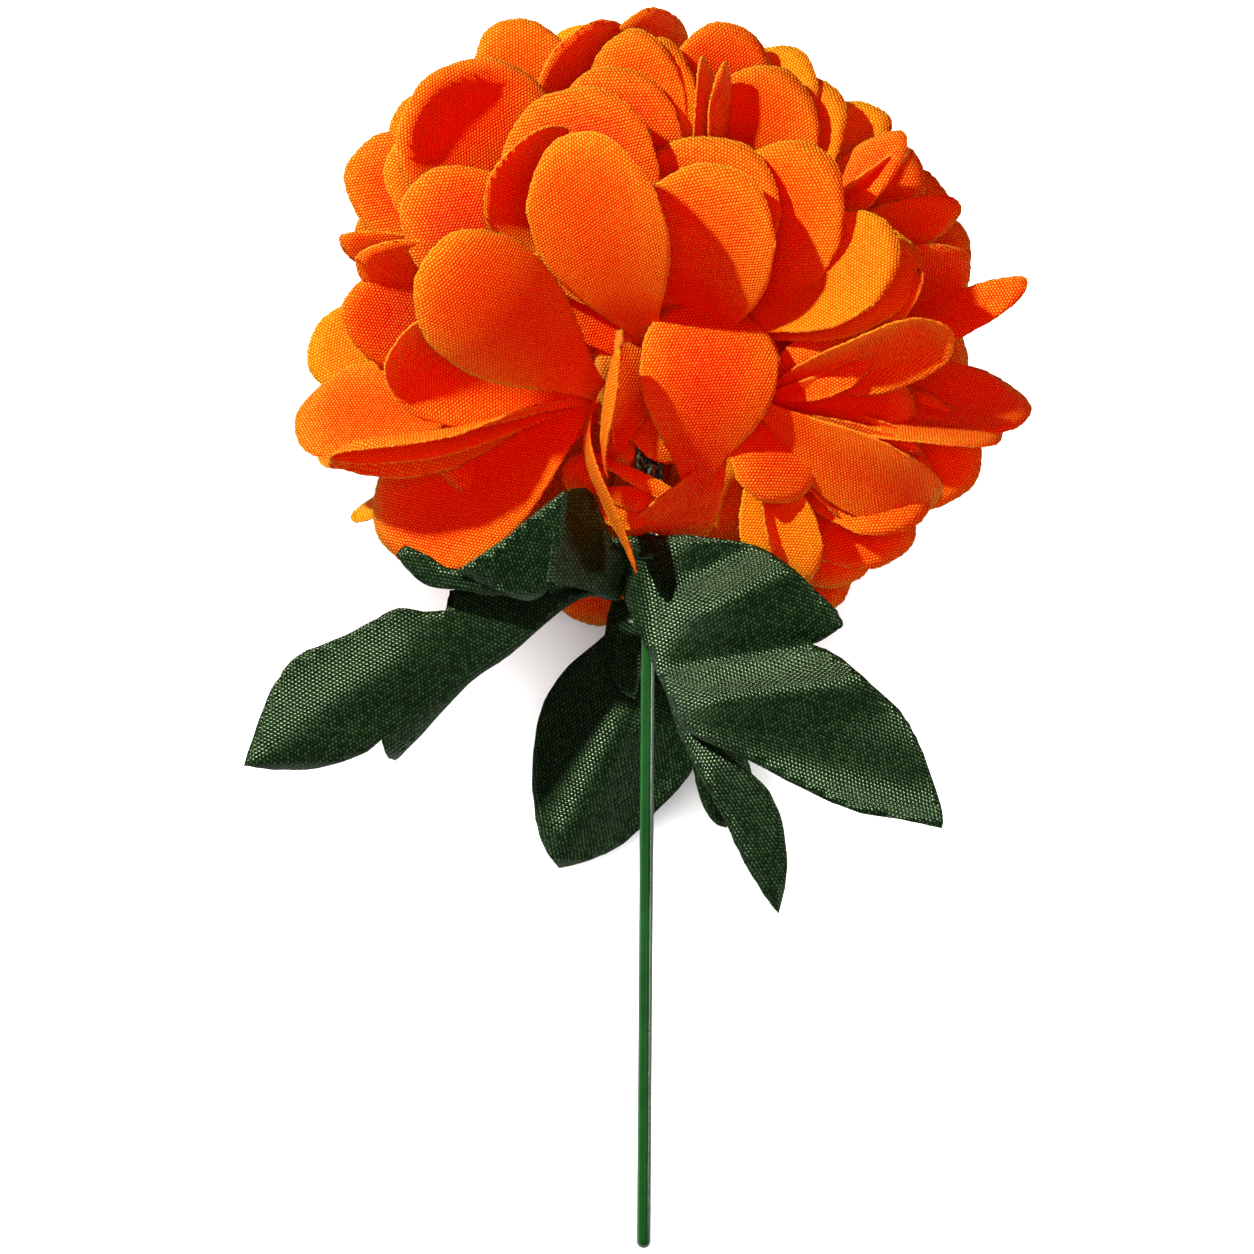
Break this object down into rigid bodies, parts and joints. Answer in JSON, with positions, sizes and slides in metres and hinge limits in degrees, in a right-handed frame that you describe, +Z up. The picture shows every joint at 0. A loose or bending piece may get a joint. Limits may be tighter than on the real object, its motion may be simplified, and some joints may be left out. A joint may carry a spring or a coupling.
{
  "type": "artificial marigold flower",
  "caption": "Artificial marigold pick: a layered orange fabric bloom above green fabric leaves on a plastic-coated wire stem, lying on its back.",
  "frame": {"origin": "on the surface the pick lies on, under the middle of its bounding box", "axes": "+Z up from the surface, +Y from the stem's cut end towards the bloom, +X to the right as the bloom's face is seen from above"},
  "size_m": [0.1234, 0.19, 0.0818],
  "materials": {
    "petal_fabric": "dyed woven polyester, matt",
    "leaf_fabric": "dyed woven polyester with a slight sheen",
    "stem_plastic": "glossy coating",
    "core_plastic": "moulded with fine glitter",
    "wire_steel": "drawn wire"
  },
  "bodies": {
    "root": {"bloom": "petal_fabric", "leaf_whorl": "leaf_fabric", "stem_sheath": "stem_plastic", "stem_wire": "wire_steel", "core_tube": "core_plastic", "top_cap": "core_plastic"}
  },
  "joints": []
}
